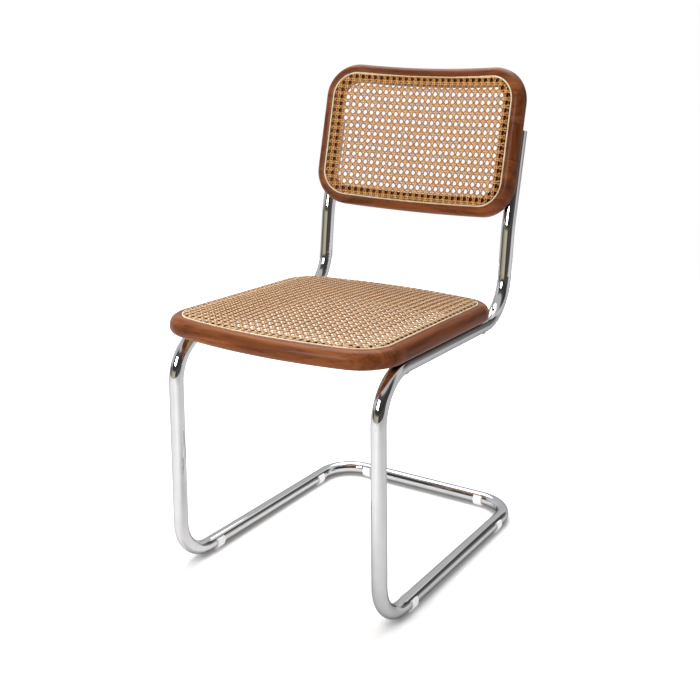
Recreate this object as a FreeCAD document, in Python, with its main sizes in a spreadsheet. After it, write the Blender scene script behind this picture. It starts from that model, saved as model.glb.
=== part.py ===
import FreeCAD, Part
import math
import os
import re
import Sketcher

# Cantilever dining chair: one bent steel tube carries a wooden seat frame and a wooden back frame,
# each with a woven cane panel wedged in a groove by a reed spline.
# Millimetres. The sitter faces -Y, +X is the sitter's left seen from the front, +Z is up.
# Heights are measured from the floor, depths from the foot of the front legs.

doc = FreeCAD.newDocument("Chair")
Vector = FreeCAD.Vector
ACROSS = Vector(1, 0, 0)
BACKWARD = Vector(0, 1, 0)
UPWARD = Vector(0, 0, 1)
QUARTER_TURN = 90
SAME_PLACE = 1e-3

# Driving sizes
SIZES = {
    # Bent tube
    "tube_diameter": 25,
    "tube_wall": 2,
    "tube_spacing": 199.4,
    "foot_spread": 4.4,
    "bar_spread": 7.8,
    "glide_lift": 2,
    "leg_reach": 10.2,
    "rail_height": 425.8,
    "rail_end": 439.2,
    "lower_lean": 4.8,
    "kink_rise": 162.9,
    "upper_lean": 12.1,
    "upper_length": 184,
    "bar_depth": 521.2,
    "foot_bend": 73.2,
    "leg_bend": 78,
    "upright_bend": 84,
    "kink_bend": 150,
    "floor_bend": 67,
    # Seat frame
    "seat_overhang": 20.1,
    "seat_front": 61,
    "seat_rear": 405.5,
    "seat_front_bow": 790,
    "seat_rear_bow": 900,
    "seat_front_corner": 76.5,
    "seat_rear_corner": 68,
    "seat_thick": 30,
    "seat_top_round": 15.5,
    "seat_under_round": 11,
    "seat_front_joint": 48,
    "seat_rear_joint": 333,
    # Back frame, heights along the leaning uprights from their kink
    "back_overhang": 11.6,
    "back_low": 14.6,
    "back_high": 293.1,
    "back_low_bow": 5000,
    "back_high_bow": -3800,
    "back_corner": 66.2,
    "back_thick": 30.5,
    "back_bow": 920,
    "back_front_round": 12,
    "back_rear_round": 10,
    "back_low_joint": 125,
    "back_high_joint": 190.5,
    # Groove, spline and cane, set in from the outer edge of a frame
    "seat_rim": 40,
    "back_rim": 38,
    "seat_groove_inset": 19.7,
    "back_groove_inset": 17.2,
    "groove_width": 4.6,
    "groove_depth": 9,
    "spline_width": 3,
    "spline_proud": 1.2,
    "spline_round": 1.1,
    "lip_wall": 0.7,
    "lip_depth": 5,
    "cane_thick": 1.6,
    "gap_pitch": 40,
    "gap_width": 23,
    # Fasteners
    "clearance": 0.3,
    "screw_shank": 2.5,
    "screw_head": 4.75,
    "screw_head_height": 3,
    "screw_bite": 14,
    "screw_socket": 1.8,
    "socket_depth": 1.6,
    "seat_screw_front": 76,
    "seat_screw_rear": 360,
    "back_screw_low": 50,
    "back_screw_high": 160,
    "dowel_radius": 3,
    "dowel_length": 28,
    "dowel_outer_inset": 13,
    "dowel_inner_inset": 31,
    # Glides and tube plugs
    "glide_wall": 2.3,
    "glide_length": 17,
    "glide_wrap": 250,
    "runner_glide_front": 92,
    "side_glide_gap": 95.2,
    "bar_glide_offset": 133,
    "plug_length": 12,
    "plug_inset": 0.6,
    # Room left round the tools that cut the shapes
    "margin": 20,
}

# Sizes that follow from the driving ones
DERIVED = {
    "tube_radius": "tube_diameter / 2",
    "bore_radius": "tube_radius - tube_wall",
    "floor_axis": "tube_radius + glide_lift",
    "rail_top": "rail_height + tube_radius",
    "kink_height": "rail_height + kink_rise",
    "seat_half": "tube_spacing + seat_overhang",
    "back_half": "tube_spacing + back_overhang",
    "runner_glide_rear": "bar_depth - side_glide_gap",
    "seat_base": "rail_top + clearance",
    "kink_depth": "rail_end + (kink_height - rail_height) * tan(lower_lean)",
    "glide_radius": "tube_radius + clearance + glide_wall",
    "middle": "(bar_depth + glide_radius - seat_front) / 2",
    "spread_rate": "(bar_spread - foot_spread) / bar_depth",
    "rear_face": "back_bow",
    "front_face": "back_bow - back_thick",
    "bow_axis": "sqrt((back_bow + tube_radius + clearance)^2 - tube_spacing^2)",
    "seat_spline_inset": "seat_groove_inset + clearance",
    "back_spline_inset": "back_groove_inset + clearance",
    "seat_lip_inset": "seat_spline_inset + spline_width + clearance",
    "back_lip_inset": "back_spline_inset + spline_width + clearance",
    "screw_hole": "screw_shank + clearance",
    "dowel_hole": "dowel_radius + clearance",
    "dowel_reach": "dowel_length / 2 + clearance",
}

sheet = doc.addObject("Spreadsheet::Sheet", "Sizes")
for row, (name, size) in enumerate(SIZES.items(), start=1):
    sheet.set(f"A{row}", name)
    sheet.set(f"B{row}", str(size))
    sheet.setAlias(f"B{row}", name)
doc.recompute()


def formula(text):
    """Writes a formula of size names as one that the sheet understands."""
    def swap(match):
        word = match.group()
        if word in DERIVED:
            return "(" + formula(DERIVED[word]) + ")"
        if word in SIZES:
            return "Sizes." + word
        return word
    return re.sub("[a-z_]+", swap, text)


def measure(text):
    """The value of a formula of size names."""
    return float(sheet.evalExpression(formula(str(text))))


def bind(target, **formulas):
    """Binds properties of an object to formulas; a double underscore stands for a dot."""
    for name, text in formulas.items():
        path = name.replace("__", ".")
        if "." not in path:
            setattr(target, path, measure(text))
        target.setExpression(path, formula(str(text)))
    return target


# Placements

def seat_level(target):
    """Puts an object built flat on the floor plane on top of the seat rails."""
    return bind(target, Placement__Base__y="-middle", Placement__Base__z="seat_base")


def depth_only(target):
    """Moves an object from the legs' origin to the middle of the chair's depth."""
    return bind(target, Placement__Base__y="-middle")


def lean_back(target):
    """Stands an object built upright at the kink of the uprights, along their lean."""
    target.Placement = FreeCAD.Placement(Vector(), FreeCAD.Rotation(ACROSS, -measure("upper_lean")))
    return bind(
        target,
        Placement__Base__y="kink_depth - middle",
        Placement__Base__z="kink_height",
        Placement__Rotation__Angle="-upper_lean",
    )


# Sketch helpers

def add_body(name):
    """A new empty body."""
    body = doc.addObject("PartDesign::Body", name)
    body.Label = name
    return body


def add_sketch(body, name, role, offset=None):
    """A sketch on one of the body's own origin planes, moved along its normal."""
    sketch = body.newObject("Sketcher::SketchObject", name)
    plane = [item for item in body.Origin.OriginFeatures if item.Role == role][0]
    sketch.AttachmentSupport = (plane, [""])
    sketch.MapMode = "FlatFace"
    if offset is not None:
        sketch.setExpression("AttachmentOffset.Base.z", formula(offset))
    return sketch


def dimension(sketch, kind, *arguments):
    """A driving dimension whose last argument is a formula."""
    *places, text = arguments
    index = sketch.addConstraint(Sketcher.Constraint(kind, *places, measure(text)))
    sketch.setExpression(f"Constraints[{index}]", formula(str(text)))


def arc(centre, radius, first, last):
    """An arc about a centre between two angles, counter-clockwise."""
    return Part.ArcOfCircle(Part.Circle(centre, UPWARD, radius), first, last)


# A frame's outline: two straight sides, gently bowed near and far edges and four round corners.
# A negative bow makes the far edge hollow.
SEAT = {
    "half": "seat_half",
    "near": "-seat_front",
    "near_bow": "seat_front_bow",
    "near_corner": "seat_front_corner",
    "far": "seat_rear",
    "far_bow": "seat_rear_bow",
    "far_corner": "seat_rear_corner",
}
BACK = {
    "half": "back_half",
    "near": "back_low",
    "near_bow": "back_low_bow",
    "near_corner": "back_corner",
    "far": "back_high",
    "far_bow": "back_high_bow",
    "far_corner": "back_corner",
}


def outline_curves(shape, inset):
    """The eight curves of an outline, set in from the outer edge, counter-clockwise."""
    size = {name: measure(text) for name, text in shape.items()}
    step = measure(inset)
    half = size["half"]
    near_x = half - size["near_corner"]
    far_x = half - size["far_corner"]
    near_middle = size["near"] + size["near_bow"]
    far_middle = size["far"] - size["far_bow"]
    bulge = math.copysign(1, size["far_bow"])
    near_y = near_middle - math.sqrt((size["near_bow"] - size["near_corner"]) ** 2 - near_x ** 2)
    far_y = far_middle + bulge * math.sqrt((size["far_bow"] - size["far_corner"]) ** 2 - far_x ** 2)
    near_turn = math.atan2(near_y - near_middle, near_x)
    far_turn = math.atan2(bulge * (far_y - far_middle), bulge * far_x)
    far_span = sorted((bulge * far_turn, bulge * (math.pi - far_turn)))
    side = half - step
    near_radius = size["near_corner"] - step
    far_radius = size["far_corner"] - step
    return [
        arc(Vector(0, near_middle, 0), size["near_bow"] - step, -math.pi - near_turn, near_turn),
        arc(Vector(near_x, near_y, 0), near_radius, near_turn, 0),
        Part.LineSegment(Vector(side, near_y, 0), Vector(side, far_y, 0)),
        arc(Vector(far_x, far_y, 0), far_radius, 0, far_turn),
        arc(Vector(0, far_middle, 0), abs(size["far_bow"] - step), *far_span),
        arc(Vector(-far_x, far_y, 0), far_radius, math.pi - far_turn, math.pi),
        Part.LineSegment(Vector(-side, far_y, 0), Vector(-side, near_y, 0)),
        arc(Vector(-near_x, near_y, 0), near_radius, math.pi, math.tau - math.pi - near_turn),
    ]


def add_outline(sketch, shape, inset):
    """Adds an outline to a sketch and ties it to the sizes."""
    curves = [sketch.addGeometry(curve, False) for curve in outline_curves(shape, inset)]
    near, _, right, _, far, _, left, _ = curves
    hollow = measure(shape["far_bow"]) < 0
    for curve, following in zip(curves, curves[1:] + curves[:1]):
        last = 1 if hollow and curve == far else 2
        first = 2 if hollow and following == far else 1
        sketch.addConstraint(Sketcher.Constraint("Tangent", curve, last, following, first))
    for edge, sign, end in ((near, "+", "near"), (far, "-", "far")):
        sketch.addConstraint(Sketcher.Constraint("PointOnObject", edge, 3, -2))
        dimension(sketch, "DistanceY", -1, 1, edge, 3, f"{shape[end]} {sign} {shape[end + '_bow']}")
        dimension(sketch, "Radius", edge, f"abs({shape[end + '_bow']} - ({inset}))")
    for curve, end in zip((curves[1], curves[3], curves[5], curves[7]), ("near", "far", "far", "near")):
        dimension(sketch, "Radius", curve, f"{shape[end + '_corner']} - ({inset})")
    for line, sign in ((right, ""), (left, "-")):
        sketch.addConstraint(Sketcher.Constraint("Vertical", line))
        dimension(sketch, "DistanceX", -1, 1, line, 1, f"{sign}({shape['half']} - ({inset}))")


def add_rectangle(sketch, low_x, low_y, high_x, high_y):
    """Adds a rectangle between two corners given as formulas."""
    left, bottom, right, top = (measure(text) for text in (low_x, low_y, high_x, high_y))
    corners = [Vector(left, bottom, 0), Vector(right, bottom, 0), Vector(right, top, 0), Vector(left, top, 0)]
    sides = []
    for first, last in zip(corners, corners[1:] + corners[:1]):
        sides.append(sketch.addGeometry(Part.LineSegment(first, last), False))
    for side, following in zip(sides, sides[1:] + sides[:1]):
        sketch.addConstraint(Sketcher.Constraint("Coincident", side, 2, following, 1))
    for side, kind in zip(sides, ("Horizontal", "Vertical", "Horizontal", "Vertical")):
        sketch.addConstraint(Sketcher.Constraint(kind, side))
    dimension(sketch, "DistanceX", -1, 1, sides[0], 1, low_x)
    dimension(sketch, "DistanceY", -1, 1, sides[0], 1, low_y)
    dimension(sketch, "DistanceX", -1, 1, sides[1], 2, high_x)
    dimension(sketch, "DistanceY", -1, 1, sides[1], 2, high_y)


def pad(body, sketch, name, length):
    """Extrudes a sketch along its normal."""
    feature = body.newObject("PartDesign::Pad", name)
    feature.Profile = sketch
    bind(feature, Length=length)
    doc.recompute()
    return feature


def pierce(body, sketch, name):
    """Cuts a sketch through the whole body, both ways."""
    feature = body.newObject("PartDesign::Pocket", name)
    feature.Profile = sketch
    feature.SideType = "Symmetric"
    feature.Type = "ThroughAll"
    doc.recompute()
    return feature


def round_edges(body, feature, name, radius, wanted):
    """Rounds the edges of a feature that the test picks out."""
    chosen = [
        f"Edge{number}"
        for number, edge in enumerate(feature.Shape.Edges, start=1)
        if wanted(edge)
    ]
    rounding = body.newObject("PartDesign::Fillet", name)
    rounding.Base = (feature, chosen)
    bind(rounding, Radius=radius)
    doc.recompute()
    return rounding


def flat_at(height):
    """A test for edges that lie in a level plane."""
    level = measure(height)
    return lambda edge: max(abs(edge.BoundBox.ZMin - level), abs(edge.BoundBox.ZMax - level)) < SAME_PLACE


def on_bow(radius):
    """A test for edges of the outline that lie on one of the bowed faces."""
    size = measure(radius)
    middle = measure("bow_axis")

    def check(edge):
        first, last = edge.ParameterRange
        points = [edge.valueAt(first + (last - first) * share) for share in (0, 0.5, 1)]
        return all(abs(math.hypot(point.x, point.y + middle) - size) < SAME_PLACE for point in points)
    return check


# Bent tube: each side runs from its open end down the upright, along the rail, down the leg and back
# along the runner to the middle of the rear bar. The legs splay, so the path isn't flat, and the tube
# is built run by run as straight hollow rods and turned bends.
top_depth = "kink_depth + upper_length * sin(upper_lean)"
top_height = "kink_height + upper_length * cos(upper_lean)"
tube_path = [
    (("tube_spacing", top_depth, top_height), "0"),
    (("tube_spacing", "kink_depth", "kink_height"), "kink_bend"),
    (("tube_spacing", "rail_end", "rail_height"), "upright_bend"),
    (("tube_spacing", "-leg_reach", "rail_height"), "leg_bend"),
    (("tube_spacing + foot_spread", "0", "floor_axis"), "foot_bend"),
    (("tube_spacing + bar_spread", "bar_depth", "floor_axis"), "floor_bend"),
    (("0", "bar_depth", "floor_axis"), "0"),
]


def tube_section(point, along):
    """The ring of the tube's wall across a point of its path."""
    rims = [
        Part.Wire(Part.Circle(point, along, measure(radius)).toShape())
        for radius in ("tube_radius", "bore_radius")
    ]
    return Part.makeFace(rims, "Part::FaceMakerBullseye")


def tube_side(path):
    """The runs and bends of one side of the tube, and the length of their centre line."""
    points = [Vector(*(measure(text) for text in point)) for point, _ in path]
    pieces = []
    length = 0
    start = points[0]
    for index, point in enumerate(points[1:], start=1):
        along = (point - start).normalize()
        if index == len(points) - 1:
            pieces.append(tube_section(start, along).extrude(point - start))
            length += (point - start).Length
            break
        after = (points[index + 1] - point).normalize()
        turn = along.getAngle(after)
        radius = measure(path[index][1])
        entry = point - along * (radius * math.tan(turn / 2))
        pivot = along.cross(after).normalize()
        centre = entry + pivot.cross(along) * radius
        pieces.append(tube_section(start, along).extrude(entry - start))
        pieces.append(tube_section(entry, along).revolve(centre, pivot, math.degrees(turn)))
        length += (entry - start).Length + radius * turn
        start = centre + FreeCAD.Rotation(pivot, math.degrees(turn)).multVec(entry - centre)
    return pieces, length


runs, run_length = tube_side(tube_path)
one_side = runs[0].fuse(runs[1:])
tube = doc.addObject("Part::Feature", "tube")
tube.Shape = one_side.fuse(one_side.mirror(Vector(), ACROSS)).removeSplitter()


def rod(name, radius, length, x, y, z, axis=UPWARD):
    """A cylinder with its foot at a point, along an axis."""
    cylinder = doc.addObject("Part::Cylinder", name)
    cylinder.Placement = FreeCAD.Placement(Vector(), FreeCAD.Rotation(UPWARD, axis))
    return bind(
        cylinder, Radius=radius, Height=length,
        Placement__Base__x=x, Placement__Base__y=y, Placement__Base__z=z,
    )


def block(name, low_x, low_y, low_z, length, width, height):
    """A box with its low corner at a point."""
    box = doc.addObject("Part::Box", name)
    return bind(
        box, Length=length, Width=width, Height=height,
        Placement__Base__x=low_x, Placement__Base__y=low_y, Placement__Base__z=low_z,
    )


def group(name, members):
    """One object of several."""
    compound = doc.addObject("Part::Compound", name)
    compound.Links = members
    return compound


def combine(kind, name, base, tool):
    """A boolean of two objects."""
    result = doc.addObject(f"Part::{kind}", name)
    result.Base = base
    result.Tool = tool
    result.Label = name
    return result


# Screws: a round head with a hexagon socket and a plain shank. Built head down at their own place.
def screw(name, x, y, z, axis):
    """A screw whose head's flat faces along the axis, toward the shank."""
    turn = FreeCAD.Placement(Vector(), FreeCAD.Rotation(UPWARD, axis))
    head = doc.addObject("Part::Cone", f"{name}_head")
    bind(head, Radius1="screw_head - screw_head_height / 2", Radius2="screw_head", Height="screw_head_height")
    socket = doc.addObject("Part::Prism", f"{name}_socket")
    socket.Polygon = 6
    bind(socket, Circumradius="screw_socket", Height="socket_depth")
    shank = doc.addObject("Part::Cylinder", f"{name}_shank")
    length = "screw_head_height + tube_diameter + 2 * clearance + screw_bite"
    bind(shank, Radius="screw_shank", Height=length)
    joined = combine("Fuse", f"{name}_blank", head, shank)
    result = combine("Cut", name, joined, socket)
    result.Placement = turn
    return bind(result, Placement__Base__x=x, Placement__Base__y=y, Placement__Base__z=z)


sides = (("right", ""), ("left", "-"))
seat_spots = [
    (f"{side}_{end}", f"{sign}tube_spacing", f"seat_screw_{end}")
    for side, sign in sides
    for end in ("front", "rear")
]
back_spots = [
    (f"{side}_{end}", f"{sign}tube_spacing", f"back_screw_{end}")
    for side, sign in sides
    for end in ("low", "high")
]
screw_foot = "tube_radius + clearance + screw_head_height"
seat_screws = group("seat_screws", [
    screw(f"seat_screw_{spot}", x, y, f"rail_height - ({screw_foot})", UPWARD)
    for spot, x, y in seat_spots
])
depth_only(seat_screws)
back_screws = group("back_screws", [
    screw(f"back_screw_{spot}", x, screw_foot, z, -BACKWARD)
    for spot, x, z in back_spots
])
lean_back(back_screws)

# Holes for the screws through both walls of the tube
hole_length = "tube_diameter + 2 * clearance"
rail_holes = group("rail_holes", [
    rod(f"rail_hole_{spot}", "screw_hole", hole_length, x, y, "rail_height - tube_radius - clearance")
    for spot, x, y in seat_spots
])
upright_holes = group("upright_holes", [
    rod(f"upright_hole_{spot}", "screw_hole", hole_length, x, "tube_radius + clearance", z, -BACKWARD)
    for spot, x, z in back_spots
])
upright_holes.Placement = FreeCAD.Placement(Vector(), FreeCAD.Rotation(ACROSS, -measure("upper_lean")))
bind(
    upright_holes,
    Placement__Base__y="kink_depth",
    Placement__Base__z="kink_height",
    Placement__Rotation__Angle="-upper_lean",
)
frame_tube = combine("Cut", "frame_tube", tube, group("tube_holes", [rail_holes, upright_holes]))
depth_only(frame_tube)


# Seat frame, built flat with its underside at height zero
def flat_ring(name, shape, outer, inner, low, height):
    """A level ring between two insets of an outline."""
    body = add_body(name)
    outside = add_sketch(body, f"{name}_outside", "XY_Plane", low)
    add_outline(outside, shape, outer)
    add_outline(outside, shape, inner)
    doc.recompute()
    pad(body, outside, f"{name}_pad", height)
    return body


seat_ring = add_body("seat_ring")
seat_outside = add_sketch(seat_ring, "seat_outside", "XY_Plane")
add_outline(seat_outside, SEAT, "0")
doc.recompute()
seat_blank = pad(seat_ring, seat_outside, "seat_blank", "seat_thick")
seat_over = round_edges(seat_ring, seat_blank, "seat_over", "seat_top_round", flat_at("seat_thick"))
seat_under = round_edges(seat_ring, seat_over, "seat_under", "seat_under_round", flat_at("0"))
seat_opening = add_sketch(seat_ring, "seat_opening", "XY_Plane")
add_outline(seat_opening, SEAT, "seat_rim")
doc.recompute()
pierce(seat_ring, seat_opening, "seat_pierced")
seat_groove = flat_ring(
    "seat_groove", SEAT, "seat_groove_inset", "seat_groove_inset + groove_width",
    "seat_thick - groove_depth", "groove_depth + margin",
)


# Back frame, built upright about the axis of its bow
def bowed_ring(name, outer, inner, far_radius, near_radius, soften=False):
    """A ring between two insets of the back's outline, bent about the axis of the bow."""
    body = add_body(name)
    slab = add_sketch(body, f"{name}_slab", "XY_Plane")
    half = "back_half + margin"
    far, near, wide, middle = (measure(text) for text in (far_radius, near_radius, half, "bow_axis"))
    centre = Vector(0, -middle, 0)
    far_angle = math.acos(wide / far)
    near_angle = math.acos(wide / near)
    far_point = Vector(wide, math.sqrt(far ** 2 - wide ** 2) - middle, 0)
    near_point = Vector(wide, math.sqrt(near ** 2 - wide ** 2) - middle, 0)
    far_other = Vector(-wide, far_point.y, 0)
    near_other = Vector(-wide, near_point.y, 0)
    far_arc = slab.addGeometry(arc(centre, far, far_angle, math.pi - far_angle), False)
    near_arc = slab.addGeometry(arc(centre, near, near_angle, math.pi - near_angle), False)
    right = slab.addGeometry(Part.LineSegment(near_point, far_point), False)
    left = slab.addGeometry(Part.LineSegment(near_other, far_other), False)
    for line, end in ((right, 1), (left, 2)):
        slab.addConstraint(Sketcher.Constraint("Coincident", line, 1, near_arc, end))
        slab.addConstraint(Sketcher.Constraint("Coincident", line, 2, far_arc, end))
        slab.addConstraint(Sketcher.Constraint("Vertical", line))
    for curve, size in ((far_arc, far_radius), (near_arc, near_radius)):
        slab.addConstraint(Sketcher.Constraint("PointOnObject", curve, 3, -2))
        dimension(slab, "DistanceY", -1, 1, curve, 3, "-bow_axis")
        dimension(slab, "Radius", curve, size)
    dimension(slab, "DistanceX", -1, 1, right, 1, half)
    dimension(slab, "DistanceX", -1, 1, left, 1, f"-({half})")
    doc.recompute()
    pad(body, slab, f"{name}_bow", "back_high + margin")
    waste = add_sketch(body, f"{name}_waste", "XZ_Plane")
    add_outline(waste, BACK, outer)
    add_rectangle(waste, "-back_half - 2 * margin", "-margin", "back_half + 2 * margin", "back_high + 2 * margin")
    doc.recompute()
    feature = pierce(body, waste, f"{name}_trimmed")
    if soften:
        feature = round_edges(body, feature, f"{name}_front", "back_front_round", on_bow(near_radius))
        feature = round_edges(body, feature, f"{name}_rear", "back_rear_round", on_bow(far_radius))
    opening = add_sketch(body, f"{name}_opening", "XZ_Plane")
    add_outline(opening, BACK, inner)
    doc.recompute()
    pierce(body, opening, f"{name}_pierced")
    return body


back_ring = bowed_ring("back_ring", "0", "back_rim", "rear_face", "front_face", True)
back_groove = bowed_ring(
    "back_groove", "back_groove_inset", "back_groove_inset + groove_width",
    "front_face + groove_depth", "front_face - margin",
)

# Dowels across the butt joints of both frames
SEAT_DOWEL_HEIGHT = "(seat_thick - groove_depth) / 2"
BACK_DOWEL_RADIUS = "front_face + groove_depth + (back_thick - groove_depth) / 2"


def joint_pins(kind, radius, length, start):
    """The cylinders across the joints of both frames: dowels or the holes for them."""
    seat, back = [], []
    for side, sign in sides:
        for depth in ("outer", "inner"):
            for end in ("front", "rear"):
                x = f"{sign}(seat_half - dowel_{depth}_inset)"
                y = f"seat_{end}_joint - ({start})"
                name = f"seat_{kind}_{side}_{end}_{depth}"
                seat.append(rod(name, radius, length, x, y, SEAT_DOWEL_HEIGHT, BACKWARD))
            for end in ("low", "high"):
                x = f"back_half - dowel_{depth}_inset"
                y = f"sqrt(({BACK_DOWEL_RADIUS})^2 - ({x})^2) - bow_axis"
                z = f"back_{end}_joint - ({start})"
                name = f"back_{kind}_{side}_{end}_{depth}"
                back.append(rod(name, radius, length, f"{sign}({x})", y, z))
    return seat, back


seat_pins, back_pins = joint_pins("dowel", "dowel_radius", "dowel_length", "dowel_length / 2")
seat_sockets, back_sockets = joint_pins("socket", "dowel_hole", "2 * dowel_reach", "dowel_reach")
seat_dowels = seat_level(group("seat_dowels", seat_pins))
back_dowels = lean_back(group("back_dowels", back_pins))
pilot_length = "screw_bite + 2 * clearance"
seat_pilots = [
    rod(f"seat_pilot_{spot}", "screw_hole", pilot_length, x, y, "-clearance")
    for spot, x, y in seat_spots
]
back_pilots = [
    rod(
        f"back_pilot_{spot}", "screw_hole", "screw_bite + tube_radius + 2 * clearance", x,
        "0", z, -BACKWARD,
    )
    for spot, x, z in back_spots
]
seat_wood = combine("Cut", "seat_wood", seat_ring, group("seat_cuts", [seat_groove] + seat_sockets + seat_pilots))
back_wood = combine("Cut", "back_wood", back_ring, group("back_cuts", [back_groove] + back_sockets + back_pilots))

# The frames are cut at their joints into four pieces each
span = "2 * (seat_half + margin)"
seat_pieces = {
    "seat_rail_front": ("-seat_half - margin", "-seat_front - margin", span, "seat_front_joint + seat_front + margin"),
    "seat_rail_rear": ("-seat_half - margin", "seat_rear_joint", span, "seat_rear - seat_rear_joint + margin"),
    "seat_rail_right": ("0", "seat_front_joint", "seat_half + margin", "seat_rear_joint - seat_front_joint"),
    "seat_rail_left": ("-seat_half - margin", "seat_front_joint", "seat_half + margin",
                       "seat_rear_joint - seat_front_joint"),
}
wooden = []
for name, (x, y, length, width) in seat_pieces.items():
    part = block(f"{name}_zone", x, y, "-margin", length, width, "seat_thick + 2 * margin")
    wooden.append(seat_level(combine("Common", name, seat_wood, part)))
back_pieces = {
    "back_rail_bottom": ("-back_half - margin", "0", span, "back_low_joint"),
    "back_rail_top": ("-back_half - margin", "back_high_joint", span, "back_high - back_high_joint + margin"),
    "back_stile_right": ("0", "back_low_joint", "back_half + margin", "back_high_joint - back_low_joint"),
    "back_stile_left": ("-back_half - margin", "back_low_joint", "back_half + margin",
                        "back_high_joint - back_low_joint"),
}
for name, (x, z, length, height) in back_pieces.items():
    part = block(f"{name}_zone", x, "-4 * margin", z, length, "8 * margin", height)
    wooden.append(lean_back(combine("Common", name, back_wood, part)))

# Reed splines, proud of the wood and round on top
seat_spline = flat_ring(
    "seat_spline", SEAT, "seat_spline_inset", "seat_spline_inset + spline_width",
    "seat_thick - groove_depth + clearance", "groove_depth - clearance + spline_proud",
)
round_edges(
    seat_spline, seat_spline.Tip, "seat_spline_round", "spline_round",
    flat_at("seat_thick + spline_proud"),
)
seat_level(seat_spline)
back_spline = bowed_ring(
    "back_spline", "back_spline_inset", "back_spline_inset + spline_width",
    "front_face + groove_depth - clearance", "front_face - spline_proud",
)
round_edges(
    back_spline, back_spline.Tip, "back_spline_round", "spline_round",
    on_bow("front_face - spline_proud"),
)
lean_back(back_spline)


# Cane: a sheet with a gap at every third hole of the weave, its edge turned down into the groove
def cane_net(shape, lip, rim):
    """The flat face of a cane panel with its gaps, in the plane of the outline."""
    border = Part.Wire([curve.toShape() for curve in outline_curves(shape, lip)])
    limit = Part.Face(Part.Wire([curve.toShape() for curve in outline_curves(shape, rim)]))
    box = limit.BoundBox
    pitch = measure("gap_pitch")
    wide = measure("gap_width")
    columns = int((box.XLength - wide) / pitch) + 1
    rows = int((box.YLength - wide) / pitch) + 1
    gaps = []
    for column in range(columns):
        for row in range(rows):
            x = (column - (columns - 1) / 2) * pitch
            y = (row - (rows - 1) / 2) * pitch + (box.YMin + box.YMax) / 2
            reach = wide / 2
            corners = [
                Vector(x + across * reach, y + along * reach, 0)
                for across, along in ((-1, -1), (1, -1), (1, 1), (-1, 1))
            ]
            if all(limit.isInside(corner, measure("clearance"), True) for corner in corners):
                gaps.append(Part.Wire(Part.makePolygon(corners + corners[:1])))
    return Part.makeFace([border] + gaps, "Part::FaceMakerBullseye"), len(gaps)


def cane_lip(shape, lip):
    """The ring of the turned down edge, in the plane of the outline."""
    wires = []
    for inset in (lip, f"{lip} + lip_wall"):
        wires.append(Part.Wire([curve.toShape() for curve in outline_curves(shape, inset)]))
    return Part.makeFace(wires, "Part::FaceMakerBullseye")


def shell(inner, outer):
    """A tall ring about the axis of the bow."""
    tall = measure("back_high + 2 * margin")
    foot = Vector(0, -measure("bow_axis"), -measure("margin"))
    return Part.makeCylinder(outer, tall, foot).cut(Part.makeCylinder(inner, tall, foot))


gap = measure("clearance")
thick = measure("cane_thick")
drop = measure("lip_depth") + gap
seat_net, seat_gaps = cane_net(SEAT, "seat_lip_inset", "seat_rim")
seat_sheet = seat_net.extrude(UPWARD * thick)
seat_edge = cane_lip(SEAT, "seat_lip_inset").extrude(UPWARD * drop)
seat_sheet.translate(UPWARD * (measure("seat_thick") + gap))
seat_edge.translate(UPWARD * (measure("seat_thick") + gap - drop))
seat_cane = doc.addObject("Part::Feature", "seat_cane")
seat_cane.Shape = seat_sheet.fuse(seat_edge).removeSplitter()
seat_level(seat_cane)

upright = FreeCAD.Rotation(ACROSS, QUARTER_TURN)
back_net, back_gaps = cane_net(BACK, "back_lip_inset", "back_rim")
deep = measure("4 * margin")
pieces = []
for face, inner, outer in (
    (back_net, "front_face - clearance - cane_thick", "front_face - clearance"),
    (cane_lip(BACK, "back_lip_inset"), "front_face - clearance", "front_face + lip_depth"),
):
    standing = face.copy()
    standing.Placement = FreeCAD.Placement(Vector(0, deep, 0), upright)
    block_shape = standing.extrude(-BACKWARD * 2 * deep)
    pieces.append(block_shape.common(shell(measure(inner), measure(outer))))
back_cane = doc.addObject("Part::Feature", "back_cane")
back_cane.Shape = pieces[0].fuse(pieces[1]).removeSplitter()
lean_back(back_cane)

# Plugs pressed into the open ends of the tube
plugs = []
for side, sign in sides:
    plug = doc.addObject("Part::Cylinder", f"tube_plug_{side}")
    plug.Label = f"tube_plug_{side}"
    bind(plug, Radius="bore_radius - clearance", Height="plug_length")
    plug.Placement = FreeCAD.Placement(Vector(), FreeCAD.Rotation(ACROSS, -measure("upper_lean")))
    foot = "upper_length - plug_length - plug_inset"
    plugs.append(bind(
        plug,
        Placement__Base__x=f"{sign}tube_spacing",
        Placement__Base__y=f"kink_depth - middle + ({foot}) * sin(upper_lean)",
        Placement__Base__z=f"kink_height + ({foot}) * cos(upper_lean)",
        Placement__Rotation__Angle="-upper_lean",
    ))


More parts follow.
